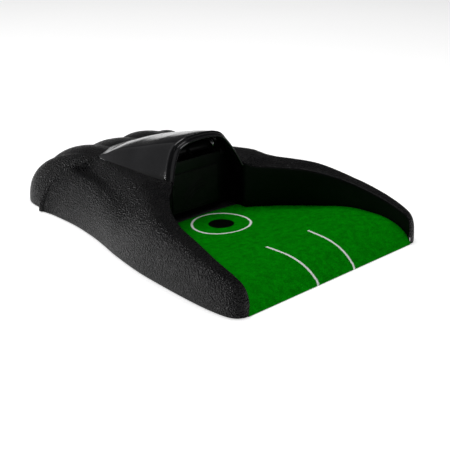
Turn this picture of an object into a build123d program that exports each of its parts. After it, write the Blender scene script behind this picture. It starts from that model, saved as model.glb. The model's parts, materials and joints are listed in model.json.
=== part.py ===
from build123d import *
import os
from math import cos, pi, radians, sin

# Practice putting ramp with a motor-driven ball return.
# The ball rolls up a felt-covered ramp between two arms into the mouth of a hood, rests against a
# paddle, and the paddle kicks it back. Frame: origin on the ground under the middle of the body's
# box, +X to the right as the player sees it, +Y away from the player, +Z up. Millimetres.

# ---- driving dimensions ---------------------------------------------------------------------
FRONT_EDGE = 2.6          # front of the ramp and the arm tips, from the front datum
TAIL_END = 252.0          # back of the tail, from the front datum
ARM_TIP_X = 78.0          # half-width of the footprint at the very front
SHOULDER_X = 84.0         # widest half-width, a third of the way back
WAIST_X = 68.0            # half-width of the waist beside the hood
TAIL_X = 70.0             # half-width at the tail's corners
WALL = 2.4                # moulded wall
DRAFT = 8.0               # how far the side walls lean in over BODY_TOP
BODY_TOP = 46.0           # height over which the lean is measured, above every roof point
TAIL_START = 190.0        # where the roof starts to fall towards the tail
TAIL_HEIGHT = 41.5        # roof height there
VALLEYS = [(47.5, 243.5), (15.5, 248.0)]    # feet of the valleys between the tail's flutes
BULGES = (7.5, 5.2, 4.0, 5.2, 7.5)          # how far each flute stands out in plan

CHANNEL_FRONT_X = 72.0    # half-width between the arms at the front
CHANNEL_BACK_X = 34.6     # half-width of the hood's mouth
MOUTH_Y = 118.0           # where the arms meet the hood
BULKHEAD_Y = 134.0        # front face of the wall behind the ball pocket
FELT = 1.2                # felt thickness
DECK = 1.8                # thickness of the pan and its ramp
PAN_Z = 1.0               # underside of the flat part of the pan
MAT_FRONT_Z = 2.1         # top of the felt at its front edge
RAMP_CREST = 12.8         # top of the felt at the crest
MAT_BACK = 123.0          # where the felt ends

HOOD_FOOT_X = 36.4        # half-width of the hood where it stands on the roof
HOOD_FOOT_Z = 38.0        # height at which its sides start to lean in, at the mouth
HOOD_WALL = 2.0
HOOD_CORNER = 188.0       # rear corners of the hood
HOOD_BACK = 204.5         # middle of its arched rear edge
HOOD_RIDGES = [           # distance behind the datum, ridge x and z, crown z
    (112.0, 21.8, 59.0, 61.6), (124.0, 22.4, 58.6, 61.4), (140.0, 25.8, 56.6, 58.8),
    (153.0, 30.2, 53.4, 55.0), (169.0, 33.6, 48.4, 49.6), (188.0, 35.2, 40.9, 44.0), (206.0, 36.0, 36.0, 40.6),
]
HOOD_LEAN = ((115.2, 36.0), (121.6, 58.0))  # line of the mouth, seen from the side

PIVOT_Y = 140.0           # kicker shaft
PIVOT_Z = 47.0
SHAFT_R = 2.0
PADDLE_HALF = 23.0        # half-width of the paddle
PADDLE_FRONT = 129.0      # face that the ball rests against
RUN_GAP = 0.06            # radial clearance of a running fit

MODULE = 0.7              # gear module
CAM_TEETH = 40
WHEEL_TEETH = 30
PINION_TEETH = 10
CAM_Y, CAM_Z = 162.5, 20.0
WHEEL_FALL = 6.0          # degrees that the compound gear lies below the cam gear
PINION_FALL = 25.0        # degrees that the motor lies below the compound gear
PIN_ORBIT = 10.0          # radius at which the cam pin runs
AXLE_R = 1.0

CELL_R = 7.0              # size AA cell
CELL_L = 49.5
CELL_Z = 10.4             # height of the cells' axes
CELL_ROWS = (211.5, 225.9)
SWITCH_Y, SWITCH_Z = 181.0, 12.0
JACK_Y, JACK_Z, JACK_R = 163.0, 12.0, 2.75
BODY_CLEAR = 0.6          # height of the housing's lower edge above the ground


def back(y):
    """Distance behind the front datum to a Y in the part's frame."""
    return y - (FRONT_EDGE + TAIL_END) / 2


def side_curve(inset):
    """Half-outline of the footprint, front to tail corner, drawn in by inset."""
    return [
        (ARM_TIP_X - inset, back(FRONT_EDGE + inset)),
        (SHOULDER_X - inset, back(30)),
        (SHOULDER_X - 1.5 - inset, back(85)),
        (WAIST_X + 1.5 - inset, back(160)),
        (WAIST_X - inset, back(190)),
        (TAIL_X - inset, back(214)),
    ]


def footprint(inset):
    """Closed outline of the body: straight front, waisted sides and a fluted, rounded tail."""
    right = side_curve(inset)
    left = [(-x, y) for x, y in reversed(right)]
    valleys = [right[-1]] + [(x * (1 - inset / TAIL_X), back(y - inset)) for x, y in VALLEYS]
    valleys += [(-x, y) for x, y in reversed(valleys)]
    Spline(*right)
    for start, end, bulge in zip(valleys, valleys[1:], BULGES):
        a, b = Vector(*start), Vector(*end)
        run = (b - a).normalized()
        ThreePointArc(a, (a + b) / 2 + Vector(run.Y, -run.X) * bulge, b)
    Spline(*left)
    Line(left[-1], right[0])


def roof(drop):
    """Side profile of the body in the YZ plane: rising arms, level shoulders, rounded tail."""
    a, b = TAIL_END - TAIL_START - drop, TAIL_HEIGHT - drop
    start = (back(TAIL_START), b)
    Line((back(0) - 20, -5), (back(0) - 20, 8 - drop))
    Line((back(0) - 20, 8 - drop), (back(0), 11 - drop))
    Spline(
        (back(0), 11 - drop), (back(12), 19.5 - drop), (back(26), 24.2 - drop), (back(52), 29 - drop),
        (back(78), 33.0 - drop), (back(104), 35.0 - drop), (back(130), 37.2 - drop), start,
    )
    EllipticalCenterArc((back(TAIL_START), 0), a, b, start_angle=0, arc_size=90)
    Line((back(TAIL_START) + a, 0), (back(TAIL_START) + a, -5))
    Line((back(TAIL_START) + a, -5), (back(0) - 20, -5))


DECK_TOP = [  # side profile of the ramp's upper face, under the felt
    (back(FRONT_EDGE), MAT_FRONT_Z - FELT), (back(12), 8.0), (back(25), 11.3), (back(35), RAMP_CREST - FELT),
    (back(47), 11.3), (back(80), 5.4), (back(105), 3.1), (back(118), PAN_Z + DECK),
]


def deck_band(low, high, end):
    """Closed band in the YZ plane that follows the ramp, from low to high above its upper face."""
    lower = [(y, z + low) for y, z in DECK_TOP]
    upper = [(y, z + high) for y, z in DECK_TOP]
    Spline(*upper)
    Line(upper[-1], (back(end), upper[-1][1]))
    Line((back(end), upper[-1][1]), (back(end), lower[-1][1]))
    Line((back(end), lower[-1][1]), lower[-1])
    Spline(*lower)
    Line(lower[0], upper[0])


def channel(grow, front, rear):
    """Plan of the space between the arms, from front to rear, wider all round by grow."""
    right = [
        (CHANNEL_FRONT_X + grow, back(0)), (CHANNEL_FRONT_X + 0.8 + grow, back(24)), (70.6 + grow, back(50)),
        (65.2 + grow, back(75)), (56.5 + grow, back(91)), (45.6 + grow, back(103)),
        (CHANNEL_BACK_X + 2.0 + grow, back(112)), (CHANNEL_BACK_X + grow, back(MOUTH_Y)),
    ]
    left = [(-x, y) for x, y in reversed(right)]
    Spline(*right)
    Line(right[-1], (CHANNEL_BACK_X + grow, back(rear)))
    Line((CHANNEL_BACK_X + grow, back(rear)), (-CHANNEL_BACK_X - grow, back(rear)))
    Line((-CHANNEL_BACK_X - grow, back(rear)), left[0])
    Spline(*left)
    Polyline(left[-1], (left[-1][0], back(front)), (right[0][0], back(front)), right[0])


def prism_x(draw, half=110.0):
    """Solid from a YZ profile, symmetric about X = 0."""
    with BuildPart() as prism:
        with BuildSketch(Plane.YZ):
            with BuildLine():
                draw()
            make_face()
        extrude(amount=half, both=True)
    return prism.part


def prism_z(draw, low, high):
    """Solid from a plan outline between two heights."""
    with BuildPart() as prism:
        with BuildSketch(Plane.XY.offset(low)):
            with BuildLine():
                draw()
            make_face()
        extrude(amount=high - low)
    return prism.part


def leaning(inset, low=0.0):
    """Solid of the footprint with its walls leaning in as they rise."""
    with BuildPart() as block:
        for z in (low, BODY_TOP):
            with BuildSketch(Plane.XY.offset(z)):
                with BuildLine():
                    footprint(inset + DRAFT * z / BODY_TOP)
                make_face()
        loft(ruled=True)
    return block.part


def box(x0, x1, y0, y1, z0, z1, mode=Mode.ADD):
    """Box from its limits, with Y counted from the front datum."""
    with Locations(((x0 + x1) / 2, back((y0 + y1) / 2), (z0 + z1) / 2)):
        return Box(x1 - x0, y1 - y0, z1 - z0, mode=mode)


def rod_x(x0, x1, y, z, radius, mode=Mode.ADD):
    """Cylinder along X."""
    with Locations(Location(((x0 + x1) / 2, back(y), z), (0, 90, 0))):
        return Cylinder(radius, x1 - x0, mode=mode)


def rod_z(x, y, z0, z1, radius, mode=Mode.ADD):
    """Cylinder along Z."""
    with Locations((x, back(y), (z0 + z1) / 2)):
        return Cylinder(radius, z1 - z0, mode=mode)


os.makedirs("parts", exist_ok=True)


def save(builder, name):
    """Label a finished piece and write it."""
    builder.part.label = name
    export_step(builder.part, f"parts/{name}.step")


# ---- screw, boss and foot positions: half-width, distance from the front datum -----------------
BOSSES = [(76.0, 40.0, 11.4, 25.5), (60.0, 132.0, 2.8, 36.5), (54.0, 194.0, 2.8, 40.0)]  # x, y, foot, top
FEET = [(s * x, y) for x, y in ((58.0, 146.0), (30.0, 197.0)) for s in (1, -1)]
SCREW_R, SCREW_HEAD = 1.25, 2.4
BOSS_R = 2.8

# ---- top housing: arms, shoulders and fluted tail in one moulding ----------------------------
outer_block = leaning(0)
inner_block = leaning(WALL, -1.0)
outer_roof = prism_x(lambda: roof(0))
inner_roof = prism_x(lambda: roof(WALL))
under_deck = prism_x(lambda: deck_band(-12, 0.15, TAIL_END + 10))
channel_cut = prism_z(lambda: channel(0, -20, BULKHEAD_Y), -2, 80)
channel_keep = prism_z(lambda: channel(WALL, -20, BULKHEAD_Y + WALL), -3, 80)

with BuildPart() as cavity:
    add(inner_block)
    add(inner_roof, mode=Mode.INTERSECT)
    add(channel_keep, mode=Mode.SUBTRACT)

with BuildPart() as pan_room:
    add(inner_block)
    add(under_deck, mode=Mode.INTERSECT)

with BuildPart() as top_housing:
    add(outer_block)
    add(outer_roof, mode=Mode.INTERSECT)
    add(cavity.part, mode=Mode.SUBTRACT)
    add(channel_cut, mode=Mode.SUBTRACT)
    # the roof is open under the hood
    box(1 - CHANNEL_BACK_X, CHANNEL_BACK_X - 1, BULKHEAD_Y - 1, HOOD_CORNER - 5, 20, 60, mode=Mode.SUBTRACT)
    # the back wall of the pocket is the bulkhead, a piece of its own
    box(-CHANNEL_BACK_X - 3, CHANNEL_BACK_X + 3, BULKHEAD_Y - 0.1, BULKHEAD_Y + WALL + 0.1, -1, 60,
        mode=Mode.SUBTRACT)
    for x, y, foot, top in BOSSES:
        for side in (1, -1):
            rod_z(side * x, y, foot, top, BOSS_R)
            rod_z(side * x, y, foot - 1, top - 2, SCREW_R + 0.04, mode=Mode.SUBTRACT)
    add(pan_room.part, mode=Mode.SUBTRACT)
    box(-100, 100, -10, TAIL_END + 10, -5, BODY_CLEAR, mode=Mode.SUBTRACT)
    # side openings for the power socket and the switch
    rod_x(58, 80, JACK_Y, JACK_Z, 4.1, mode=Mode.SUBTRACT)
    box(58, 80, SWITCH_Y - 3.6, SWITCH_Y + 3.6, SWITCH_Z - 2.2, SWITCH_Z + 2.2, mode=Mode.SUBTRACT)
save(top_housing, "top_housing")

# ---- hood: a glossy wedge over the pocket and the mechanism ----------------------------------
def hood_section(grow, ridge):
    """Mouth-shaped outline of the hood at one of its ridge stations, larger all round by grow."""
    y, ridge_x, ridge_z, crown = ridge
    foot_x = HOOD_FOOT_X + grow
    foot_z = HOOD_FOOT_Z - 5.0 * (y - MOUTH_Y) / (HOOD_BACK - MOUTH_Y)
    corner = (ridge_x + 0.8 * grow, ridge_z + grow)
    Line((-foot_x, 28), (-foot_x, foot_z))
    Line((-foot_x, foot_z), (-corner[0], corner[1]))
    ThreePointArc((-corner[0], corner[1]), (0, crown + grow), corner)
    Line(corner, (foot_x, foot_z))
    Line((foot_x, foot_z), (foot_x, 28))
    Line((foot_x, 28), (-foot_x, 28))


def hood_plan(inset):
    """Plan of the hood: straight across the mouth, arched across the back."""
    side = HOOD_FOOT_X + 1
    front, corner = back(HOOD_RIDGES[0][0] - 5), back(HOOD_CORNER - inset)
    Polyline((side, corner), (side, front), (-side, front), (-side, corner))
    ThreePointArc((-side, corner), (0, back(HOOD_BACK - inset)), (side, corner))


def mouth_cut():
    """Side profile of everything ahead of the leaning mouth."""
    (y0, z0), (y1, z1) = HOOD_LEAN
    slope = (y1 - y0) / (z1 - z0)
    Polyline((back(90), 20), (back(y0 - slope * (z0 - 20)), 20), (back(y1 + slope * (80 - z1)), 80), (back(90), 80),
             close=True)


def hood_block(grow):
    """Solid through the hood's sections."""
    with BuildPart() as block:
        for ridge in HOOD_RIDGES:
            with BuildSketch(Plane.XZ.offset(-back(ridge[0]))):
                with BuildLine():
                    hood_section(grow, ridge)
                make_face()
        loft(ruled=True)
    return block.part


hood_outer = hood_block(0)
hood_inner = hood_block(-HOOD_WALL)
mouth_prism = prism_x(mouth_cut)
hood_trim = prism_z(lambda: hood_plan(0), 20, 80)
hood_room_trim = prism_z(lambda: hood_plan(HOOD_WALL), 20, 80)
with BuildPart() as hood_room:
    add(hood_inner)
    add(hood_room_trim, mode=Mode.INTERSECT)
with BuildPart() as hood_cover:
    add(hood_outer)
    add(hood_trim, mode=Mode.INTERSECT)
    add(hood_room.part, mode=Mode.SUBTRACT)
    add(outer_roof, mode=Mode.SUBTRACT)
    add(mouth_prism, mode=Mode.SUBTRACT)
save(hood_cover, "hood_cover")

# ---- base pan with the ramp, and the felt on it -----------------------------------------------
deck_prism = prism_x(lambda: deck_band(-DECK, 0, TAIL_END))
felt_prism = prism_x(lambda: deck_band(0, FELT, MAT_BACK))
pan_block = leaning(WALL + 0.3, -1.0)
lip_block = prism_z(lambda: channel(-0.3, -5, 12), -2, 12)
felt_block = prism_z(lambda: channel(-0.25, -5, MAT_BACK), -2, 30)
front_trim = 12.0
DOOR = (-51.0, 51.0, 203.8, 233.2)

with BuildPart() as lip_piece:
    add(lip_block)
    box(-100, 100, front_trim, 200, -5, 60, mode=Mode.SUBTRACT)

with BuildPart() as base_pan:
    add(pan_block)
    add(lip_piece.part)
    add(deck_prism, mode=Mode.INTERSECT)
    box(-100, 100, -10, front_trim, -5, 0, mode=Mode.SUBTRACT)
    for x, y, foot, top in BOSSES:
        for side in (1, -1):
            rod_z(side * x, y, -2, foot + 5, SCREW_R + 0.3, mode=Mode.SUBTRACT)
    box(DOOR[0] - 0.3, DOOR[1] + 0.3, DOOR[2] - 0.3, DOOR[3] + 0.3, -1, 5, mode=Mode.SUBTRACT)
    box(-5.3, 5.3, DOOR[3], 240.3, -1, 2.0, mode=Mode.SUBTRACT)
    rod_z(0, 236.6, 0, 5, SCREW_R + 0.04, mode=Mode.SUBTRACT)
save(base_pan, "base_pan")

with BuildPart() as turf_mat:
    add(felt_block)
    add(felt_prism, mode=Mode.INTERSECT)
save(turf_mat, "turf_mat")

with BuildPart() as rubber_feet:
    for x, y in FEET:
        rod_z(x, y, 0, PAN_Z, 5.0)
save(rubber_feet, "rubber_feet")

with BuildPart() as housing_screws:
    for x, y, foot, top in BOSSES:
        seat = foot - DECK
        for side in (1, -1):
            rod_z(side * x, y, seat, foot + 7, SCREW_R)
            rod_z(side * x, y, seat - 0.8, seat, SCREW_HEAD)
save(housing_screws, "housing_screws")

# ---- bulkhead behind the ball pocket, with the ears that carry the kicker's shaft --------------
PLATE = 2.0
EAR = (24.6, 26.6)
with BuildPart() as pocket_bulkhead:
    with BuildSketch(Plane.XZ.offset(-back(BULKHEAD_Y))):
        with BuildLine():
            Polyline((-36.6, PAN_Z + DECK), (36.6, PAN_Z + DECK), (36.6, 34), (32.8, 38), (25.6, 50), (-25.6, 50),
                     (-32.8, 38), (-36.6, 34), close=True)
        make_face()
        with Locations((0, 26.0)):
            Rectangle(2 * PADDLE_HALF + 2.4, 42.0, mode=Mode.SUBTRACT)
        with Locations((0, 49.0)):
            Rectangle(2 * PADDLE_HALF + 2.4, 6.0, mode=Mode.SUBTRACT)
    extrude(amount=-PLATE)
    for side in (1, -1):
        x0, x1 = sorted((side * EAR[0], side * EAR[1]))
        box(x0, x1, BULKHEAD_Y + PLATE - 0.5, PIVOT_Y + 4, PIVOT_Z - 5, PIVOT_Z + 2.6)
    rod_x(-30, 30, PIVOT_Y, PIVOT_Z, SHAFT_R + RUN_GAP, mode=Mode.SUBTRACT)
save(pocket_bulkhead, "pocket_bulkhead")

# ---- kicker: paddle, rubber face, shaft and springs ------------------------------------------
PADDLE = 3.0
PADDLE_TOP, PADDLE_FOOT = 44.0, 8.0
HUB = 20.5
with BuildPart() as kicker_paddle:
    box(-PADDLE_HALF, PADDLE_HALF, PADDLE_FRONT, PADDLE_FRONT + PADDLE, PADDLE_FOOT, PADDLE_TOP)
    fillet(kicker_paddle.edges().filter_by(Axis.Y), 3.0)
    rod_x(-HUB, HUB, PIVOT_Y, PIVOT_Z, 4.2)
    for x in (-HUB, -0.9, HUB - 1.8):
        with BuildSketch(Plane.YZ.offset(x)):
            with BuildLine():
                Polyline((back(PADDLE_FRONT + 1), PADDLE_TOP), (back(PADDLE_FRONT + 1), 30),
                         (back(PADDLE_FRONT + PADDLE), 30), (back(PIVOT_Y + 3), PIVOT_Z - 2),
                         (back(PIVOT_Y - 3), PIVOT_Z + 2.5), close=True)
            make_face()
        extrude(amount=1.8)
    # catch behind the paddle for the cam pin
    box(-17, -13, PADDLE_FRONT + PADDLE - 0.5, PADDLE_FRONT + PADDLE + 3, 18, 24)
    rod_x(-30, 30, PIVOT_Y, PIVOT_Z, SHAFT_R, mode=Mode.SUBTRACT)
save(kicker_paddle, "kicker_paddle")

with BuildPart() as paddle_pad:
    box(-18, 18, PADDLE_FRONT - 1.4, PADDLE_FRONT, 12, 34)
    fillet(paddle_pad.edges().filter_by(Axis.Y), 4.0)
save(paddle_pad, "paddle_pad")

with BuildPart() as kicker_shaft:
    rod_x(-EAR[1] - 0.2, EAR[1] + 0.2, PIVOT_Y, PIVOT_Z, SHAFT_R)
save(kicker_shaft, "kicker_shaft")

SPRING_R, SPRING_WIRE = 3.2, 0.45
with BuildPart() as kicker_springs:
    for x0 in (HUB + 0.9, -EAR[0] + 0.9):
        with BuildLine() as wire:
            Helix(pitch=1.1, height=2.6, radius=SPRING_R, center=(x0, back(PIVOT_Y), PIVOT_Z), direction=(1, 0, 0))
        with BuildSketch(Plane(origin=wire.line @ 0, z_dir=wire.line % 0)):
            Circle(SPRING_WIRE)
        sweep(path=wire.line)
save(kicker_springs, "kicker_springs")

with BuildPart() as paddle_bumpers:
    for side in (1, -1):
        x0, x1 = sorted((side * 24.8, side * 28.2))
        box(x0, x1, BULKHEAD_Y - 3.0, BULKHEAD_Y, 40, 46)
save(paddle_bumpers, "paddle_bumpers")

# ---- gear train -------------------------------------------------------------------------------
def gear_profile(teeth):
    """Outline of a spur gear with straight-flanked teeth, one tooth centred on +X."""
    r = MODULE * teeth / 2
    step = 2 * pi / teeth
    shape = ((r - 1.2 * MODULE, 0.33), (r, 0.215), (r + 0.8 * MODULE, 0.10))
    points = []
    for i in range(teeth):
        left = [(radius, i * step - share * step) for radius, share in shape]
        right = [(radius, i * step + share * step) for radius, share in reversed(shape)]
        points += [(radius * cos(a), radius * sin(a)) for radius, a in left + right]
    Polyline(*points, close=True)


def gear(teeth, x0, x1, y, z, turn):
    """Gear blank along X between x0 and x1, turned by turn degrees about +X."""
    face = Plane(origin=(x0, back(y), z), x_dir=(0, cos(radians(turn)), sin(radians(turn))), z_dir=(1, 0, 0))
    with BuildSketch(face) as blank:
        with BuildLine():
            gear_profile(teeth)
        make_face()
    extrude(blank.sketch, amount=x1 - x0)


WHEEL_DIST = MODULE * (CAM_TEETH + PINION_TEETH) / 2
WHEEL_Y = CAM_Y + WHEEL_DIST * cos(radians(WHEEL_FALL))
WHEEL_Z = CAM_Z - WHEEL_DIST * sin(radians(WHEEL_FALL))
PINION_DIST = MODULE * (WHEEL_TEETH + PINION_TEETH) / 2
PINION_Y = WHEEL_Y + PINION_DIST * cos(radians(PINION_FALL))
PINION_Z = WHEEL_Z - PINION_DIST * sin(radians(PINION_FALL))
half_tooth = 180 / PINION_TEETH

with BuildPart() as cam_gear:
    gear(CAM_TEETH, -12, -7.5, CAM_Y, CAM_Z, -WHEEL_FALL)
    rod_x(-17, -11, CAM_Y + PIN_ORBIT, CAM_Z, 1.6)
    rod_x(-17.5, -6.5, CAM_Y, CAM_Z, 2.6)
    rod_x(-30, 30, CAM_Y, CAM_Z, AXLE_R + RUN_GAP, mode=Mode.SUBTRACT)
save(cam_gear, "cam_gear")

with BuildPart() as compound_gear:
    gear(PINION_TEETH, -13, -4, WHEEL_Y, WHEEL_Z, 180 - WHEEL_FALL + half_tooth)
    gear(WHEEL_TEETH, -4, -0.5, WHEEL_Y, WHEEL_Z, -PINION_FALL)
    rod_x(-30, 30, WHEEL_Y, WHEEL_Z, AXLE_R + RUN_GAP, mode=Mode.SUBTRACT)
save(compound_gear, "compound_gear")

with BuildPart() as motor_pinion:
    gear(PINION_TEETH, -4.8, 0.3, PINION_Y, PINION_Z, 180 - PINION_FALL + half_tooth)
    rod_x(-30, 30, PINION_Y, PINION_Z, AXLE_R, mode=Mode.SUBTRACT)
save(motor_pinion, "motor_pinion")

with BuildPart() as motor_shaft:
    rod_x(-5.5, 9.5, PINION_Y, PINION_Z, AXLE_R)
save(motor_shaft, "motor_shaft")

PLATES = {"gearbox_plate_left": (-20.0, -18.2), "gearbox_plate_right": (3.6, 5.4)}
for name, (x0, x1) in PLATES.items():
    with BuildPart() as gearbox_plate:
        box(x0, x1, 147.5, 199, PAN_Z + DECK, 14)
        box(x0, x1, 152, 190, 14, 32)
        for y, z in ((CAM_Y, CAM_Z), (WHEEL_Y, WHEEL_Z)):
            rod_x(x0 - 1, x1 + 1, y, z, AXLE_R + 0.02, mode=Mode.SUBTRACT)
        if x0 > 0:
            rod_x(x0 - 1, x1 + 1, PINION_Y, PINION_Z, 3.1, mode=Mode.SUBTRACT)
    save(gearbox_plate, name)

with BuildPart() as gear_axles:
    for y, z in ((CAM_Y, CAM_Z), (WHEEL_Y, WHEEL_Z)):
        rod_x(-20.4, 5.8, y, z, AXLE_R)
save(gear_axles, "gear_axles")

with BuildPart() as motor_can:
    rod_x(5.4, 30.4, PINION_Y, PINION_Z, 10.0)
    box(-50, 50, 150, 240, PINION_Z + 7.6, 60, mode=Mode.SUBTRACT)
    box(-50, 50, 150, 240, -20, PINION_Z - 7.6, mode=Mode.SUBTRACT)
    rod_x(5, 10, PINION_Y, PINION_Z, AXLE_R + RUN_GAP, mode=Mode.SUBTRACT)
save(motor_can, "motor_can")

with BuildPart() as motor_end_cap:
    rod_x(30.4, 32.6, PINION_Y, PINION_Z, 8.4)
    box(-50, 50, 150, 240, PINION_Z + 7.2, 60, mode=Mode.SUBTRACT)
    box(-50, 50, 150, 240, -20, PINION_Z - 7.2, mode=Mode.SUBTRACT)
save(motor_end_cap, "motor_end_cap")

# ---- switch that feels the paddle, control board, socket and power switch ---------------------
LEVER_Y, LEVER_Z = 150.0, 6.5
with BuildPart() as microswitch_body:
    box(12, 18.4, 151.5, 171.5, PAN_Z + DECK, 12.8)
    for y in (156.5, 166.5):
        rod_x(10, 20, y, 9.0, 1.1, mode=Mode.SUBTRACT)
save(microswitch_body, "microswitch_body")

with BuildPart() as microswitch_lever:
    with BuildSketch(Plane.YZ.offset(13.2)):
        with BuildLine():
            Polyline((back(LEVER_Y - 0.8), LEVER_Z), (back(LEVER_Y + 0.8), LEVER_Z), (back(134.0), 30.0),
                     (back(133.0), 29.0), close=True)
        make_face()
    extrude(amount=4.0)
    rod_x(12.2, 18.2, LEVER_Y, LEVER_Z, 1.0)
save(microswitch_lever, "microswitch_lever")

with BuildPart() as control_board:
    box(-60, -41, 141, 178, 6.0, 7.6)
    for y in (144, 175):
        rod_z(-50.5, y, 5, 9, 1.3, mode=Mode.SUBTRACT)
save(control_board, "control_board")

with BuildPart() as board_posts:
    for y in (144, 175):
        rod_z(-50.5, y, PAN_Z + DECK, 6.0, 2.6)
        rod_z(-50.5, y, PAN_Z + DECK, 7, 1.05, mode=Mode.SUBTRACT)
save(board_posts, "board_posts")

with BuildPart() as board_screws:
    for y in (144, 175):
        rod_z(-50.5, y, 3.6, 7.6, 1.0)
        rod_z(-50.5, y, 7.6, 8.8, 2.0)
save(board_screws, "board_screws")

with BuildPart() as board_components:
    box(-58, -50, 149, 157, 7.6, 9.6)
    box(-48, -43, 150, 154, 7.6, 12.6)
    rod_z(-54, 165, 7.6, 15.6, 3.2)
    rod_z(-46, 164, 7.6, 13.6, 2.5)
save(board_components, "board_components")

with BuildPart() as dc_jack:
    box(52, 62, JACK_Y - 4.5, JACK_Y + 4.5, 7.5, 17.0)
    rod_x(61, 66.6, JACK_Y, JACK_Z, 4.0)
    rod_x(57, 70, JACK_Y, JACK_Z, JACK_R, mode=Mode.SUBTRACT)
save(dc_jack, "dc_jack")

with BuildPart() as switch_body:
    box(52, 61, SWITCH_Y - 6, SWITCH_Y + 6, SWITCH_Z - 3.5, SWITCH_Z + 3.5)
    box(58, 62, SWITCH_Y - 3.4, SWITCH_Y + 3.4, SWITCH_Z - 1.8, SWITCH_Z + 1.8, mode=Mode.SUBTRACT)
save(switch_body, "switch_body")

with BuildPart() as switch_slider:
    box(58.3, 67.6, SWITCH_Y - 3.1, SWITCH_Y, SWITCH_Z - 1.6, SWITCH_Z + 1.6)
    fillet(switch_slider.edges().group_by(Axis.X)[-1], 0.5)
save(switch_slider, "switch_slider")

# ---- battery bay under the tail ----------------------------------------------------------------
bay_block = leaning(WALL + 0.4, -1.0)
bay_roof = prism_x(lambda: roof(WALL + 0.4))
with BuildPart() as battery_box:
    box(-54, 54, 202.6, 234.2, PAN_Z + DECK, CELL_Z + CELL_R + 1.6)
    add(bay_block, mode=Mode.INTERSECT)
    add(bay_roof, mode=Mode.INTERSECT)
    box(-52.6, 52.6, 203.8, 233.4, 0, CELL_Z + CELL_R + 0.4, mode=Mode.SUBTRACT)
save(battery_box, "battery_box")

CELLS = [(s * (CELL_L / 2 + 0.3), y) for y in CELL_ROWS for s in (-1, 1)]
for i, (x, y) in enumerate(CELLS, 1):
    with BuildPart() as battery:
        rod_x(x - CELL_L / 2, x + CELL_L / 2 - 1.2, y, CELL_Z, CELL_R)
        rod_x(x + CELL_L / 2 - 1.3, x + CELL_L / 2, y, CELL_Z, 2.7)
    save(battery, f"battery_{i}")

with BuildPart() as battery_contacts:
    for y in CELL_ROWS:
        for side in (-1, 1):
            x0, x1 = sorted((side * 51.9, side * 52.5))
            box(x0, x1, y - 5, y + 5, CELL_Z - 4, CELL_Z + 5)
            x0, x1 = sorted((side * 50.0, side * 52.0))
            rod_x(x0, x1, y, CELL_Z, 3.0)
save(battery_contacts, "battery_contacts")

with BuildPart() as battery_door:
    box(DOOR[0], DOOR[1], DOOR[2], DOOR[3], PAN_Z, PAN_Z + 1.6)
    box(-5, 5, DOOR[3] - 1, 240, PAN_Z, 2.0)
    rod_z(0, 236.6, 0, 5, SCREW_R + 0.3, mode=Mode.SUBTRACT)
save(battery_door, "battery_door")

with BuildPart() as door_screw:
    rod_z(0, 236.6, PAN_Z, 7.0, SCREW_R)
    rod_z(0, 236.6, 0.2, PAN_Z, SCREW_HEAD)
save(door_screw, "door_screw")
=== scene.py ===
"""Looks for the putting ramp with a ball return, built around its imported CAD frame."""
import json
from math import pi, radians, sin

import bmesh
import bpy
import numpy as np
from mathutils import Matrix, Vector


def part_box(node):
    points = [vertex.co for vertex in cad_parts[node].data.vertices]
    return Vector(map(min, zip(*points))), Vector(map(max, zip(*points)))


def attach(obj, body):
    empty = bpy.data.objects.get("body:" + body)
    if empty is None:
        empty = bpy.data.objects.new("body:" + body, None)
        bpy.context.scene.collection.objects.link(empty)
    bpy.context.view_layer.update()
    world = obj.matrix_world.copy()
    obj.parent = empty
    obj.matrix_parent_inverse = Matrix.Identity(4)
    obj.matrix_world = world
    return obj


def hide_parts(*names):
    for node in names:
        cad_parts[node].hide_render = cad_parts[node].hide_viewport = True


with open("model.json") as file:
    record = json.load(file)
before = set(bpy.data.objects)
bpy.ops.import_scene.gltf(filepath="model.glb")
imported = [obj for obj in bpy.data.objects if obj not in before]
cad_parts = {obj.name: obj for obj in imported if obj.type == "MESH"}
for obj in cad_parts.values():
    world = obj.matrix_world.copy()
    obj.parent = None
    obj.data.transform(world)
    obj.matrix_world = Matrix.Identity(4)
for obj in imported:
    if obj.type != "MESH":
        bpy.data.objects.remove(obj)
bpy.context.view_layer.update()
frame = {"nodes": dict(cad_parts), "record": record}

# ---- places read from the frame -----------------------------------------------------------------
MM = 0.001
FRONT_EDGE = 2.6          # front of the felt, in millimetres behind the datum that every y below counts from
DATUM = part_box("turf_mat")[0].y - FRONT_EDGE * MM


def place(points):
    """Millimetres from the front datum to metres in the part's frame."""
    p = np.asarray(points, float) * MM
    p[..., 1] += DATUM
    return p


# ---- camera, light and floor ----------------------------------------------------------------------
def make_camera():
    data = bpy.data.cameras.new("camera")
    data.lens = 72.0
    cam = bpy.data.objects.new("camera", data)
    bpy.context.scene.collection.objects.link(cam)
    cam.location = place([(-373.7, -304.8, 231.0)])[0]
    cam.rotation_euler = (radians(90 - 22.37), 0, radians(-42.77))
    bpy.context.scene.camera = cam


def area_light(name, size, power, location, target):
    data = bpy.data.lights.new(name, "AREA")
    data.shape = "RECTANGLE"
    data.size, data.size_y = size
    data.energy = power
    light = bpy.data.objects.new(name, data)
    bpy.context.scene.collection.objects.link(light)
    light.location = location
    towards = np.array(target) - np.array(location)
    light.rotation_euler = Vector(towards).to_track_quat("-Z", "Y").to_euler()


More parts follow.
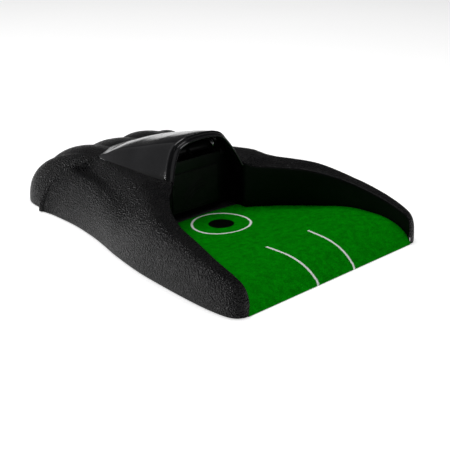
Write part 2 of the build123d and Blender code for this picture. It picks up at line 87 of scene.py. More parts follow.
def make_studio():
    """Pale floor, low key light from the far left, dim card above it, soft top light and weak dome."""
    scene = bpy.context.scene
    scene.view_settings.view_transform = "Standard"
    world = bpy.data.worlds.new("studio")
    scene.world = world
    world.use_nodes = True
    world.node_tree.nodes["Background"].inputs["Color"].default_value = (1, 1, 1, 1)
    world.node_tree.nodes["Background"].inputs["Strength"].default_value = 0.08
    area_light("key", (0.7, 0.10), 8.8, (-0.82, 0.72, 0.06), (0, 0, 0.03))
    area_light("card", (1.8, 1.1), 1.5, (-0.6, 1.0, 0.62), (0, 0, 0.05))
    area_light("top_fill", (0.8, 0.8), 9.0, (0.0, 0.05, 1.2), (0, 0, 0))
    bpy.ops.mesh.primitive_plane_add(size=8)
    floor = bpy.context.object
    floor.name = "floor"
    floor.data.materials.append(floor_material())


# ---- material helpers ------------------------------------------------------------------------------
def new_material(name, base, rough, specular=0.5):
    """A material, its node tree and its Principled node."""
    mat = bpy.data.materials.new(name)
    mat.use_nodes = True
    tree = mat.node_tree
    shader = tree.nodes["Principled BSDF"]
    shader.inputs["Base Color"].default_value = (*base, 1)
    shader.inputs["Roughness"].default_value = rough
    shader.inputs["Specular IOR Level"].default_value = specular
    return mat, tree, shader


def node(tree, kind, **settings):
    """A node of that kind, with its attributes and input values set by name."""
    made = tree.nodes.new(kind)
    for key, value in settings.items():
        if key in made.inputs:
            made.inputs[key].default_value = value
        else:
            setattr(made, key, value)
    return made


def noise(tree, scale, detail=2.0, rough=0.5):
    """A 3-D noise over the part's own coordinates."""
    made = node(tree, "ShaderNodeTexNoise", Scale=scale, Detail=detail, Roughness=rough)
    tree.links.new(coordinates(tree), made.inputs["Vector"])
    return made.outputs["Fac"]


def coordinates(tree):
    found = tree.nodes.get("Texture Coordinate") or tree.nodes.new("ShaderNodeTexCoord")
    return found.outputs["Object"]


def ramp(tree, value, stops):
    """Colour ramp from (position, colour) stops."""
    made = tree.nodes.new("ShaderNodeValToRGB")
    band = made.color_ramp
    for position, colour in stops[2:]:
        band.elements.new(position)
    for element, (position, colour) in zip(band.elements, stops):
        element.position = position
        element.color = (*colour, 1) if len(colour) == 3 else colour
    tree.links.new(value, made.inputs["Fac"])
    return made.outputs["Color"]


def math(tree, kind, a, b=None, clamp=False):
    """Math node on sockets or numbers."""
    made = node(tree, "ShaderNodeMath", operation=kind, use_clamp=clamp)
    for socket, value in zip(made.inputs, (a, b)):
        if value is None:
            continue
        if isinstance(value, (int, float)):
            socket.default_value = value
        else:
            tree.links.new(value, socket)
    return made.outputs[0]


def mix(tree, share, a, b):
    """Colour a where share is 0 and b where it is 1."""
    made = node(tree, "ShaderNodeMix", data_type="RGBA")
    for socket, value in ((made.inputs[0], share), (made.inputs[6], a), (made.inputs[7], b)):
        if isinstance(value, (int, float)):
            socket.default_value = value
        elif isinstance(value, tuple):
            socket.default_value = (*value, 1)
        else:
            tree.links.new(value, socket)
    return made.outputs[2]


def bump(tree, shader, height, strength, distance):
    """Bump node in front of whatever already feeds the shader's normal."""
    made = node(tree, "ShaderNodeBump", Distance=distance)
    if isinstance(strength, float):
        made.inputs["Strength"].default_value = strength
    else:
        tree.links.new(strength, made.inputs["Strength"])
    tree.links.new(height, made.inputs["Height"])
    before = shader.inputs["Normal"]
    if before.is_linked:
        tree.links.new(before.links[0].from_socket, made.inputs["Normal"])
    tree.links.new(made.outputs["Normal"], before)


def floor_material():
    """Pale floor that glows a little, like a studio light table."""
    mat, tree, shader = new_material("floor_white", (0.9, 0.9, 0.9), 0.7, 0.2)
    tint = ramp(tree, noise(tree, 3.0), [(0.3, (0.90, 0.90, 0.90)), (0.7, (0.93, 0.93, 0.93))])
    tree.links.new(tint, shader.inputs["Base Color"])
    shader.inputs["Emission Color"].default_value = (1, 1, 1, 1)
    shader.inputs["Emission Strength"].default_value = 0.55
    return mat


def grained_plastic():
    """Black moulding with a fine leather grain."""
    mat, tree, shader = new_material("grained_black", (0.004, 0.004, 0.005), 0.28, 0.135)
    cells = node(tree, "ShaderNodeTexVoronoi", Scale=1000.0, feature="SMOOTH_F1", Smoothness=0.7)
    tree.links.new(coordinates(tree), cells.inputs["Vector"])
    bump(tree, shader, cells.outputs["Distance"], outer_faces(tree), 0.0015)
    bump(tree, shader, noise(tree, 2600.0, 3.0, 0.6), 0.2, 0.0003)
    wear = ramp(tree, noise(tree, 60.0, 4.0), [(0.35, (0.003, 0.003, 0.0035)), (0.7, (0.006, 0.0056, 0.006))])
    tree.links.new(wear, shader.inputs["Base Color"])
    sheen = ramp(tree, noise(tree, 420.0, 3.0, 0.65), [(0.3, (0.29,) * 3), (0.75, (0.42,) * 3)])
    tree.links.new(sheen, shader.inputs["Roughness"])
    return mat


def outer_faces(tree):
    """1 on the faces that look outward or up, nearly 0 on the smooth walls of the channel."""
    place_x, facing_x = tree.nodes.new("ShaderNodeSeparateXYZ"), tree.nodes.new("ShaderNodeSeparateXYZ")
    tree.links.new(coordinates(tree), place_x.inputs[0])
    tree.links.new(tree.nodes["Texture Coordinate"].outputs["Normal"], facing_x.inputs[0])
    outward = math(tree, "MULTIPLY", facing_x.outputs["X"], math(tree, "SIGN", place_x.outputs["X"]))
    made = node(tree, "ShaderNodeMapRange")
    made.inputs["From Min"].default_value = -0.65
    made.inputs["From Max"].default_value = -0.30
    made.inputs["To Min"].default_value = 0.06
    tree.links.new(outward, made.inputs["Value"])
    return made.outputs[0]


def polished_plastic():
    """Black gloss moulding with faint moulding waviness and dust."""
    mat, tree, shader = new_material("polished_black", (0.003, 0.003, 0.004), 0.12, 0.5)
    bump(tree, shader, noise(tree, 90.0, 2.0), 0.10, 0.0006)
    bump(tree, shader, noise(tree, 2400.0, 2.0), 0.05, 0.0002)
    dust = ramp(tree, noise(tree, 700.0, 5.0, 0.7), [(0.4, (0.12,) * 3), (0.8, (0.24,) * 3)])
    tree.links.new(dust, shader.inputs["Roughness"])
    tone = ramp(tree, noise(tree, 45.0, 3.0), [(0.3, (0.002, 0.002, 0.003)), (0.8, (0.006, 0.006, 0.007))])
    tree.links.new(tone, shader.inputs["Base Color"])
    return mat


RING = {"y": 102.8, "radius": 19.6, "spot": 8.7, "line": 1.5}
GUIDE = {"x": 18.6, "start": 42.5, "spread": -2.6}


def felt_material():
    """Green felt with the printed ring, spot and guide lines."""
    mat, tree, shader = new_material("felt_green", (0.0, 0.2, 0.02), 0.95, 0.02)
    fibres = noise(tree, 1500.0, 5.0, 0.7)
    clumps = noise(tree, 260.0, 4.0, 0.6)
    green = ramp(tree, fibres, [(0.32, (0.0, 0.145, 0.0004)), (0.68, (0.001, 0.335, 0.002))])
    shade = ramp(tree, clumps, [(0.3, (0.68,) * 3), (0.7, (1.14,) * 3)])
    tinted = node(tree, "ShaderNodeMix", data_type="RGBA", blend_type="MULTIPLY")
    tinted.inputs[0].default_value = 1.0
    tree.links.new(green, tinted.inputs[6])
    tree.links.new(shade, tinted.inputs[7])
    turf = tinted.outputs[2]

    split = tree.nodes.new("ShaderNodeSeparateXYZ")
    tree.links.new(coordinates(tree), split.inputs[0])
    x, y = split.outputs["X"], split.outputs["Y"]
    fray = math(tree, "MULTIPLY", math(tree, "SUBTRACT", noise(tree, 900.0, 4.0), 0.5), 0.9 * MM)
    across = math(tree, "SUBTRACT", y, DATUM + RING["y"] * MM)
    squares = math(tree, "ADD", math(tree, "MULTIPLY", x, x), math(tree, "MULTIPLY", across, across))
    radius = math(tree, "SQRT", squares)
    radius = math(tree, "ADD", radius, fray)
    off_ring = math(tree, "ABSOLUTE", math(tree, "SUBTRACT", radius, RING["radius"] * MM))
    ring = edge_mask(tree, off_ring, RING["line"] * MM / 2)
    spot = edge_mask(tree, radius, RING["spot"] * MM)
    along = math(tree, "SUBTRACT", y, DATUM)
    lean = math(tree, "MULTIPLY", along, -GUIDE["spread"] / GUIDE["start"])
    centre = math(tree, "ADD", lean, (GUIDE["x"] + GUIDE["spread"]) * MM)
    off_line = math(tree, "ABSOLUTE", math(tree, "SUBTRACT", math(tree, "ABSOLUTE", x), centre))
    off_line = math(tree, "ADD", off_line, math(tree, "MULTIPLY", fray, 0.6))
    line = edge_mask(tree, off_line, RING["line"] * MM / 2)
    line = math(tree, "MULTIPLY", line, math(tree, "LESS_THAN", along, GUIDE["start"] * MM))
    white = math(tree, "MAXIMUM", ring, line)
    paint = ramp(tree, fibres, [(0.3, (0.88, 0.90, 0.88)), (0.7, (0.97, 0.98, 0.97))])
    ink = ramp(tree, fibres, [(0.3, (0.0006, 0.001, 0.0006)), (0.7, (0.002, 0.003, 0.002))])
    colour = mix(tree, white, turf, paint)
    colour = mix(tree, spot, colour, ink)
    tree.links.new(colour, shader.inputs["Base Color"])
    bump(tree, shader, fibres, 0.5, 0.0006)
    bump(tree, shader, clumps, 0.25, 0.0008)
    return mat


def edge_mask(tree, distance, limit):
    """1 where distance is under limit, with a soft printed edge."""
    soft = 0.25 * MM
    made = node(tree, "ShaderNodeMapRange")
    made.inputs["From Min"].default_value = limit + soft
    made.inputs["From Max"].default_value = limit - soft
    tree.links.new(distance, made.inputs["Value"])
    return made.outputs[0]


def plain_plastic(name, base, rough, grain=1800.0, specular=0.4):
    mat, tree, shader = new_material(name, base, rough, specular)
    bump(tree, shader, noise(tree, grain, 3.0, 0.6), 0.15, 0.0002)
    lighter = tuple(min(1.0, c * 1.5 + 0.004) for c in base)
    tone = ramp(tree, noise(tree, 120.0, 4.0), [(0.3, base), (0.8, lighter)])
    tree.links.new(tone, shader.inputs["Base Color"])
    haze = ramp(tree, noise(tree, 380.0, 3.0), [(0.3, (rough * 0.85,) * 3), (0.8, (rough * 1.2,) * 3)])
    tree.links.new(haze, shader.inputs["Roughness"])
    return mat


def metal(name, base, rough):
    mat, tree, shader = new_material(name, base, rough)
    shader.inputs["Metallic"].default_value = 1.0
    bump(tree, shader, noise(tree, 1400.0, 3.0), 0.12, 0.0002)
    tone = ramp(tree, noise(tree, 200.0, 4.0), [(0.3, tuple(0.8 * c for c in base)), (0.75, base)])
    tree.links.new(tone, shader.inputs["Base Color"])
    haze = ramp(tree, noise(tree, 600.0, 4.0), [(0.3, (rough * 0.7,) * 3), (0.8, (rough * 1.4,) * 3)])
    tree.links.new(haze, shader.inputs["Roughness"])
    return mat


MATERIALS = {
    "housing_black": grained_plastic(),
    "hood_black": polished_plastic(),
    "turf_green": felt_material(),
    "pan_black": plain_plastic("pan_black", (0.020, 0.020, 0.022), 0.5),
    "inner_black": plain_plastic("inner_black", (0.002, 0.002, 0.0025), 0.35, 900.0, 0.2),
    "rubber_black": plain_plastic("rubber_black", (0.004, 0.004, 0.004), 0.6, 2600.0, 0.25),
    "steel": metal("steel", (0.62, 0.62, 0.64), 0.28),
    "brass": metal("brass", (0.78, 0.60, 0.28), 0.25),
    "gear_white": plain_plastic("gear_white", (0.76, 0.75, 0.70), 0.4),
    "board_green": plain_plastic("board_green", (0.02, 0.16, 0.06), 0.3),
    "parts_dark": plain_plastic("parts_dark", (0.03, 0.03, 0.034), 0.45),
    "cell_wrap": plain_plastic("cell_wrap", (0.10, 0.11, 0.14), 0.25),
}


def dress(obj, slot):
    """Give a piece the material of a record slot."""
    obj.data.materials.clear()
    obj.data.materials.append(MATERIALS[slot])


# ---- mesh helpers ----------------------------------------------------------------------------------
WELD_REACH = 1e-6         # metres


def grid_object(name, rows, closed=False):
    """Smooth quad mesh through a grid of points in millimetres from the front edge."""
    points = place(rows)
    count, width = points.shape[:2]
    faces = []
    for i in range(count - 1 + closed):
        for j in range(width - 1):
            a, b = i * width, (i + 1) % count * width
            faces.append((a + j, a + j + 1, b + j + 1, b + j))
    mesh = bpy.data.meshes.new(name)
    mesh.from_pydata(points.reshape(-1, 3).tolist(), [], faces)
    mesh.update()
    mesh.shade_smooth()
    obj = bpy.data.objects.new(name, mesh)
    bpy.context.scene.collection.objects.link(obj)
    return obj


def solidify(obj, thickness, offset):
    """Give a sheet of faces a wall thickness, as real geometry."""
    wall = obj.modifiers.new("wall", "SOLIDIFY")
    wall.thickness = thickness * MM
    wall.offset = offset
    wall.use_even_offset = False
    return wall


def weld(obj, close=False):
    """Merge points that coincide, and close open edge loops when asked."""
    work = bmesh.new()
    work.from_mesh(obj.data)
    bmesh.ops.remove_doubles(work, verts=work.verts, dist=WELD_REACH)
    if close:
        bmesh.ops.holes_fill(work, edges=[e for e in work.edges if e.is_boundary], sides=0)
        bmesh.ops.recalc_face_normals(work, faces=work.faces)
    work.to_mesh(obj.data)
    work.free()


def smooth_through(keys, t):
    """Catmull-Rom through rows of values, t running from 0 to 1 over all of them."""
    keys = np.asarray(keys, float)
    n = len(keys) - 1
    s = np.clip(np.asarray(t, float), 0, 1) * n
    i = np.minimum(s.astype(int), n - 1)
    f = (s - i)[:, None]
    before = keys[np.maximum(i - 1, 0)]
    a, b = keys[i], keys[i + 1]
    after = keys[np.minimum(i + 2, n)]
    cubic = 3 * (a - b) + after - before
    square = 2 * before - 5 * a + 4 * b - after
    return a + 0.5 * f * (b - before + f * (square + f * cubic))


# ---- housing: arms, shoulders, side panels and fluted tail ------------------------------------------
# Sections from the arm's nose back to the crease behind the side panel, on the right half:
# foot x and y on the ground, edge x, y and z at the inside top, squareness, the inner wall's foot x,
# and how far the edge flares up to the hood.
SECTIONS = [
    (71.9, 2.4, 71.6, 2.8, 6.5, 2.2, 71.8, 0),
    (76.0, 3.0, 72.2, 3.4, 12.2, 2.5, 72.0, 0),
    (79.8, 6.0, 73.0, 6.0, 17.8, 3.0, 72.6, 0),
    (82.2, 13.0, 73.1, 13.0, 21.2, 3.9, 72.9, 0),
    (83.6, 28.0, 72.8, 28.0, 25.4, 4.6, 73.0, 0),
    (83.6, 48.0, 70.2, 48.0, 29.8, 4.8, 72.0, 0),
    (83.0, 66.0, 66.6, 66.0, 32.2, 4.6, 69.6, 0),
    (82.0, 84.0, 58.4, 84.0, 34.2, 4.1, 64.0, 0),
    (80.0, 100.0, 46.8, 99.6, 34.5, 3.9, 52.4, 0),
    (78.2, 111.0, 38.2, 108.4, 34.6, 3.7, 41.8, 0.4),
    (76.6, 120.0, 33.2, 113.6, 35.4, 3.7, 34.6, 1.8),
    (75.0, 127.0, 32.6, 117.0, 36.4, 3.7, 33.6, 2.0),
    (73.2, 135.0, 35.2, 123.0, 37.4, 3.7, 35.2, 1.0),
    (70.2, 152.0, 35.8, 136.0, 37.8, 3.5, 35.8, 0.6),
    (68.0, 174.0, 35.8, 153.0, 38.0, 3.0, 35.8, 0.3),
    (68.2, 196.0, 35.8, 170.0, 38.0, 2.3, 35.8, 0.2),
    (69.2, 206.0, 35.8, 179.0, 38.1, 2.02, 35.8, 0.1),
    (70.8, 213.0, 35.6, 185.8, 38.2, 1.94, 35.6, 0.1),
]
# Swell of the shoulder between its inside edge and its foot: foot y, height, share of the way out.
SWELL = [
    (56, 0.0, 0.60), (84, 2.0, 0.60), (100, 3.0, 0.52), (112, 3.4, 0.44), (127, 3.4, 0.38), (140, 2.6, 0.34),
    (158, 1.4, 0.30), (180, 0.6, 0.28), (205, 0.0, 0.28),
]
# Valleys between the tail's lobes, from the crease to the middle.
VALLEYS = [
    (67.0, 214.8, 34.8, 186.4, 36.6, 1.62, 35.4, 0),
    (49.0, 248.0, 33.0, 190.0, 38.4, 2.1, 33.0, 0),
    (15.5, 250.0, 14.5, 201.0, 37.4, 2.05, 14.5, 0),
    (-15.5, 250.0, -14.5, 201.0, 37.4, 2.05, -14.5, 0),
]
LOBE_FOOT = (8.0, 4.6, 3.6)  # how far each lobe's foot stands out between its valleys
LOBE_SQUARE = (0.50, 0.42, 0.32)  # how much squarer its crown is
LOBE_RISE = (0.9, 1.3, 1.0)  # how much higher its crown is
FLARE_REACH = 4.0
HOLLOW_LINE = [(46, 190), (52, 161), (59, 139), (66, 119), (72, 94)]  # x and y of the shoulder's soft valley
HOLLOW_DEPTH = [6.5, 5.0, 3.8, 2.2, 0.2]
HOLLOW_WIDTH = 6.5
HOLLOW_FADE_Z = 12        # it fades out below this height
LIP_PUSH = [0.2, 0.5, 0.85, 1.0, 0.8]  # how far the side panel's last rows stand out
GROOVE = [-1.6, -2.2]     # and how far the crease's groove then goes in, row by row
GROOVE_STEP = 0.25
WALL_FOOT_Z = 2.0         # foot of the walls beside the felt
LEDGE = 5.0               # depth of the inside wall that only meets the hood
SHELL_WALL = 2.2
SHELL_FOOT_Z = 0.6
NOSE_START, NOSE_FADE, NOSE_SHARE = 3, 12, 0.08  # the wall thins to this share towards the nose
PANEL_STEPS, LOBE_STEPS, RISE_STEPS = 190, 30, 64
POCKET_END = 134.0        # the pocket's walls reach back to the bulkhead
# Holes: node, growth in y and z, squareness, travel in y.
HOLES = [("dc_jack", -0.4, 0.0, 2.0, 0.0), ("switch_slider", 0.6, 0.6, 5.0, 3.0)]
HOLE_SIDES = 32
HOLE_IN, HOLE_OUT = 9, 12
GROUND_GAP = 0.5
CREASE_CENTRE = np.array([30.0, 185.0, 0.0])  # the crease's groove and lip lean in and out from here


def section_curve(foot_x, foot_y, edge_x, edge_y, edge_z, square, wall_x, flare):
    """Points from the foot up over the crown to the inside top edge, which flares up to the hood."""
    angle = np.linspace(0, pi / 2, RISE_STEPS)
    out = np.cos(angle) ** (2 / square)
    up = np.sin(angle) ** (2 / square)
    x = edge_x + (foot_x - edge_x) * out
    y = edge_y + (foot_y - edge_y) * out
    points = np.stack([x, y, edge_z * up], axis=1)
    away = np.hypot(points[:, 0] - edge_x, points[:, 1] - edge_y)
    points[:, 2] += flare * np.exp(-away / FLARE_REACH)
    stations, heights, shares = np.array(SWELL).T
    peak = np.interp(foot_y, stations, shares)
    swell = np.sin(pi * np.clip(out, 0, 1) ** (np.log(0.5) / np.log(peak))) ** 1.4
    points[:, 2] += np.interp(foot_y, stations, heights) * swell * up
    points[0, 2] = SHELL_FOOT_Z
    return points


def inner_wall(points, foot_x, depth):
    """Rounded inside edge, then a wall down by depth to its foot line."""
    edge, inward = points[-1], points[-1] - points[0]
    inward[2] = 0
    inward /= max(np.linalg.norm(inward), 1e-6)
    drop = np.array([(0.35, 0.08), (0.75, 0.35), (1.0, 0.9), (1.05, 1.6)])
    wall = [edge + inward * a - np.array([0, 0, b]) for a, b in drop]
    top, foot = wall[-1], np.array([foot_x, wall[-1][1], edge[2] - depth])
    wall += [top + (foot - top) * k for k in (0.12, 0.3, 0.5, 0.75, 1.0)]
    return np.vstack([points, wall])


def soft_valley(points):
    """Shallow valley that runs from the hood's rear corner forward and outward over the shoulder."""
    line, strength = np.array(HOLLOW_LINE, float), np.array(HOLLOW_DEPTH)
    for p in points:
        best, depth = 1e9, 0.0
        for k in range(len(line) - 1):
            a, run = line[k], line[k + 1] - line[k]
            t = np.clip(np.dot(p[:2] - a, run) / np.dot(run, run), 0, 1)
            gap = np.linalg.norm(p[:2] - a - run * t)
            if gap < best:
                best, depth = gap, strength[k] * (1 - t) + strength[k + 1] * t
        p[2] -= depth * np.exp(-(best / HOLLOW_WIDTH) ** 2) * min(1.0, p[2] / HOLLOW_FADE_Z)
    return points


def pushed_out(points, reach):
    """A section moved away from the tail's middle, less so at its inside edge."""
    away = points - CREASE_CENTRE
    away /= np.linalg.norm(away, axis=1)[:, None]
    share = np.clip((np.arange(len(points))[::-1] - 18) / 24, 0, 1)
    moved = points + away * reach * share[:, None]
    moved[:, 2] = np.maximum(moved[:, 2], SHELL_FOOT_Z)
    return moved


def right_half():
    rows = []
    for key in smooth_through(SECTIONS, np.linspace(0, 1, PANEL_STEPS)):
        points = soft_valley(section_curve(*key))
        edge_y, edge_z = points[-1, 1:]
        depth = edge_z - WALL_FOOT_Z if edge_y < POCKET_END else LEDGE
        rows.append(inner_wall(points, key[6], depth))
    for row, push in enumerate(LIP_PUSH, -len(LIP_PUSH)):
        rows[row] = pushed_out(rows[row], push)
    for push in GROOVE:
        rows.append(pushed_out(rows[-1], push) + np.array([0, GROOVE_STEP, 0]))
    for a, b, bulge, square, rise in zip(VALLEYS, VALLEYS[1:], LOBE_FOOT, LOBE_SQUARE, LOBE_RISE):
        a, b = np.array(a), np.array(b)
        away = np.array([b[1] - a[1], a[0] - b[0]])
        away = away / np.linalg.norm(away)
        for w in np.linspace(0, 1, LOBE_STEPS)[:-1]:
            key = a + (b - a) * w
            crown = sin(pi * w)
            key[:2] += away * bulge * sin(pi * w ** 1.2) ** 0.75
            key[5] += square * crown ** 0.6
            key[4] += rise * crown ** 0.7
            rows.append(inner_wall(section_curve(*key), key[6], LEDGE))
    return np.array(rows)


def hole_block(name, grow_y, grow_z, square, travel):
    """A block with rounded corners that reaches through the wall at a node, longer by its travel."""
    low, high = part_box(name)
    y, z = (low.y + high.y) / 2, (low.z + high.z) / 2
    reach_y, reach_z = (high.y - low.y) / 2 + grow_y * MM, (high.z - low.z) / 2 + grow_z * MM
    reach_y += travel * MM / 2
    y += travel * MM / 2
    angle = np.linspace(0, 2 * pi, HOLE_SIDES + 1)[:-1]
    ring_y = y + reach_y * np.sign(np.cos(angle)) * np.abs(np.cos(angle)) ** (2 / square)
    ring_z = z + reach_z * np.sign(np.sin(angle)) * np.abs(np.sin(angle)) ** (2 / square)
    count = HOLE_SIDES
    points = [(high.x - HOLE_IN * MM, a, b) for a, b in zip(ring_y, ring_z)]
    points += [(high.x + HOLE_OUT * MM, a, b) for a, b in zip(ring_y, ring_z)]
    faces = [(i, (i + 1) % count, (i + 1) % count + count, i + count) for i in range(count)]
    faces += [tuple(range(count))[::-1], tuple(range(count, 2 * count))]
    mesh = bpy.data.meshes.new("hole")
    mesh.from_pydata(points, [], faces)
    hole = bpy.data.objects.new("hole", mesh)
    bpy.context.scene.collection.objects.link(hole)
    return hole


def cut_openings(shell):
    """Holes through the right side for the charging jack and the power switch."""
    holes = []
    for hole_shape in HOLES:
        hole = hole_block(*hole_shape)
        cut = shell.modifiers.new("cut", "BOOLEAN")
        cut.operation = "DIFFERENCE"
        cut.solver = "EXACT"
        cut.object = hole
        holes.append(hole)
    bpy.context.view_layer.objects.active = shell
    for modifier in list(shell.modifiers):
        bpy.ops.object.modifier_apply(modifier=modifier.name)
    for hole in holes:
        bpy.data.objects.remove(hole)
    for vertex in shell.data.vertices:
        vertex.co.z = max(vertex.co.z, GROUND_GAP * MM)


def build_housing():
    right = right_half()
    right = right[right[:, 0, 0] > 1e-6]
    left = right[::-1].copy()
    left[..., 0] *= -1
    shell = grid_object("housing_shell", np.concatenate([right, left])[::-1])
    thin_nose = shell.vertex_groups.new(name="wall")
    for vertex in shell.data.vertices:
        back = (vertex.co.y - DATUM) / MM
        share = np.clip((back - NOSE_START) / NOSE_FADE, NOSE_SHARE, 1.0)
        thin_nose.add([vertex.index], float(share), "REPLACE")
    solidify(shell, SHELL_WALL, -1).vertex_group = "wall"
    cut_openings(shell)
    dress(shell, "housing_black")
    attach(shell, "base")
    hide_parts("top_housing")
    return shell


# ---- hood --------------------------------------------------------------------------------------------
# Share of the way from mouth to rear corner, ridge x and z between top and side, crown z, foot x.
HOOD_KEYS = [
    (0.00, 20.6, 57.6, 61.4, 32.9),
    (0.24, 24.0, 54.5, 57.3, 35.5),
    (0.44, 26.4, 50.9, 53.0, 36.2),
    (0.60, 29.2, 48.5, 49.8, 36.4),
    (0.76, 32.2, 45.3, 45.8, 36.4),
    (0.96, 35.2, 40.1, 39.8, 36.2),
    (1.00, 35.6, 39.4, 38.6, 36.2),
]
RIM_TOP_Y = 124.0         # plane of the rim where it crosses the crown
RIM_LEAN = 0.34           # how far the rim comes forward for each mm it drops below RIM_KNEE
RIM_KNEE = 54.0
HOOD_CORNER = 188.0       # rear corners
HOOD_ARCH = 16.0          # how far the rear edge stands back at its middle
HOOD_WALL = 2.0
# Rim from the inside out: distance behind the rim line, and inset from the hood's outer surface.
LIP = [
    (10.0, -3.4), (4.0, -3.2), (0.0, -3.0), (-2.6, -2.7), (-3.3, -2.5), (-3.7, -2.1), (-3.6, -1.7),
    (-3.1, -1.45), (-1.6, -1.35), (-0.5, -1.3), (-0.15, -1.15), (-0.1, -0.5), (0.0, 0.0), (0.25, 0.45),
    (0.7, 0.75), (1.3, 0.8), (1.9, 0.6), (2.3, 0.25), (2.7, 0.05), (3.4, 0.0),
]
TOP_STEPS, SIDE_STEPS, BACK_STEPS = 60, 22, 56


def hood_outline(t, grow):
    """Points of the hood's section, foot to foot over the top, larger all round by grow."""
    stops = [key[0] for key in HOOD_KEYS]
    where = np.interp(t, stops, np.linspace(0, 1, len(stops)))
    _, ridge_x, ridge_z, crown, foot_x = smooth_through(HOOD_KEYS, np.array([where]))[0]
    foot_z = 35.6 + 2.4 * t
    x = np.linspace(-1, 1, TOP_STEPS)
    top = np.stack([x * ridge_x, ridge_z + (crown - ridge_z) * (1 - np.abs(x) ** 2.8)], axis=1)
    s = np.linspace(0, 1, SIDE_STEPS)[:-1]
    side_x = foot_x + (ridge_x - foot_x) * s + 1.5 * max(0.0, 1 - 2 * t) * np.sin(pi * s)
    side_z = foot_z + (ridge_z - foot_z) * s
    left = np.stack([-side_x, side_z], axis=1)
    right = np.stack([side_x[::-1], side_z[::-1]], axis=1)
    outline = np.vstack([left, top, right])
    outline = soften(outline, int(14 - 10 * min(1.0, t * 4)))
    run = np.gradient(outline, axis=0)
    normal = np.stack([-run[:, 1], run[:, 0]], axis=1) / np.linalg.norm(run, axis=1)[:, None]
    return outline + normal * grow


def soften(outline, times):
    """Round the corners of an open outline a little, keeping its ends."""
    for _ in range(times):
        outline[1:-1] = 0.25 * outline[:-2] + 0.5 * outline[1:-1] + 0.25 * outline[2:]
    return outline


def rim_line(z):
    """Distance of the rim from the front edge at a height."""
    return RIM_TOP_Y - RIM_LEAN * np.maximum(0, RIM_KNEE - z)


def hood_row(t, grow, behind):
    """One row of the hood's mesh, behind the rim line by behind at the mouth."""
    outline = hood_outline(t, grow)
    start = rim_line(outline[:, 1]) + behind
    reach = np.maximum(0, 1 - (outline[:, 0] / 36.5) ** 2)
    end = HOOD_CORNER + HOOD_ARCH * reach + grow * 0.8
    return np.stack([outline[:, 0], start + (end - start) * t, outline[:, 1]], axis=1)


def build_hood():
    steps = np.linspace(0, 1, BACK_STEPS)[1:]
    rows = [hood_row(t, -HOOD_WALL, 1.8) for t in steps[::-1] if t > 0.16]
    rows += [hood_row(0, inset, behind) for behind, inset in LIP]
    rows += [hood_row(t, 0, 3.4) for t in steps]
    hood = grid_object("hood_shell", np.array(rows), closed=True)
    weld(hood, close=True)
    dress(hood, "hood_black")
    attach(hood, "base")
    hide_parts("hood_cover")
    return hood


# ---- felt ---------------------------------------------------------------------------------------------
FELT_THICK = 1.1
FELT_COLUMNS = 73
FELT_WRAP = [(2.5, 0.35), (2.25, 0.8), (2.3, 1.3), (2.6, 1.9), (3.0, 2.5)]  # y and z down over the front edge
FELT_STEP = 1.4           # between rows along the ramp
PROFILE_STEP = 2.0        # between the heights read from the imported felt
RAMP_START = 3.6
TUCK = 0.2                # how far the felt's sides reach under the walls
POCKET_MOUTH_Y = 117.0
POCKET_HALF = 34.0        # half of the felt's width inside the pocket
REAR_ARC = 3.0            # how far the felt's rear edge reaches back at its middle
REAR_HALF = 33.0          # half of that arc's width
REAR_DIP = 0.15           # drop for each mm of that reach


def felt_profile():
    """Distances and heights along the felt's upper face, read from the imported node."""
    points = np.array([v.co for v in frame["nodes"]["turf_mat"].data.vertices])
    points[:, 1] -= DATUM
    points /= MM
    crest = []
    for low_y in np.arange(FRONT_EDGE, points[:, 1].max(), PROFILE_STEP):
        strip = points[(points[:, 1] >= low_y) & (points[:, 1] < low_y + PROFILE_STEP)]
        if len(strip):
            crest.append(strip[strip[:, 2].argmax(), 1:])
    crest = np.array(crest)
    along = np.arange(RAMP_START, points[:, 1].max(), FELT_STEP)
    return along, np.interp(along, crest[:, 0], crest[:, 1])


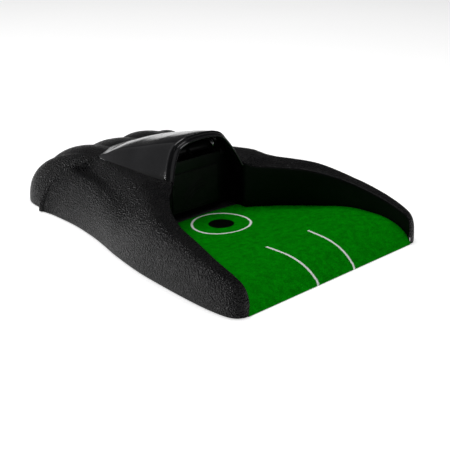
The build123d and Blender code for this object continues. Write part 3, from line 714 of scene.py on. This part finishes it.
def build_felt():
    """Felt laid over the ramp and down over its front edge, out to the walls."""
    walls = np.array([(key[3], key[6]) for key in SECTIONS if key[3] < POCKET_MOUTH_Y + 1])
    rows = []
    for y, z in FELT_WRAP + list(zip(*felt_profile())):
        half = np.interp(y, walls[:, 0], walls[:, 1]) + TUCK
        if y > POCKET_MOUTH_Y:
            half = min(half, POCKET_HALF)
        rows.append([(x, y, z) for x in np.linspace(-half, half, FELT_COLUMNS)])
    last = np.array(rows[-1])
    arc = REAR_ARC * np.clip(1 - (last[:, 0] / REAR_HALF) ** 2, 0, 1)
    for share in (0.34, 0.67, 1.0):
        rows.append(last + np.stack([arc * 0, arc * share, -arc * share * REAR_DIP], axis=1))
    felt = grid_object("felt_sheet", rows)
    weld(felt)
    solidify(felt, FELT_THICK, -1)
    dress(felt, "turf_green")
    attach(felt, "base")
    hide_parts("turf_mat")
    return felt


# ---- kicker's face -----------------------------------------------------------------------------------
FACE_HALF = 20.0          # half of the face's width
FACE_MARGIN = 2.0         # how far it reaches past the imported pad, above and below
FACE_THICK = 0.5
FACE_SINK = 0.9           # its plane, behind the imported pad's front
FACE_ROWS, FACE_COLUMNS = 41, 61
ARC_CENTRE = (6, 9.0)     # x and z
ARC_RADII = (13.0, 15.5, 18.0)
ARC_WIDTH = 0.45
ARC_HEIGHT = 0.8
ARC_ENDS = (13, 8)        # left and right ends of the arcs
ARC_FADE = 3


def arc_height(x, z):
    """Height of the raised arcs at a point of the face."""
    height = 0.0
    for radius in ARC_RADII:
        reach = np.hypot(x - ARC_CENTRE[0], z - ARC_CENTRE[1])
        ridge = np.exp(-((reach - radius) / ARC_WIDTH) ** 2)
        fade = np.clip((x + ARC_ENDS[0]) / ARC_FADE, 0, 1) * np.clip((ARC_ENDS[1] - x) / ARC_FADE, 0, 1)
        height += ARC_HEIGHT * ridge * fade
    return height


def build_paddle_face():
    """Thin rubber face on the paddle with three raised arcs where the ball rests."""
    low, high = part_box("paddle_pad")
    face_y = (low.y - DATUM) / MM
    rows = []
    for v in np.linspace(0, 1, FACE_ROWS):
        z = low.z / MM - FACE_MARGIN + v * ((high.z - low.z) / MM + 2 * FACE_MARGIN)
        across = np.linspace(-1, 1, FACE_COLUMNS) * FACE_HALF
        rows.append([(x, face_y + FACE_SINK - arc_height(x, z), z) for x in across])
    face = grid_object("paddle_face", rows)
    solidify(face, FACE_THICK, -1)
    dress(face, "rubber_black")
    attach(face, "kicker")
    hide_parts("paddle_pad")
    return face


make_camera()
make_studio()
build_housing()
build_hood()
build_felt()
build_paddle_face()

for name, obj in frame["nodes"].items():
    slot = next(s["material_slot"] for s in frame["record"]["subparts"] if s["node"] == name)
    obj.data.materials.clear()
    obj.data.materials.append(MATERIALS[slot])
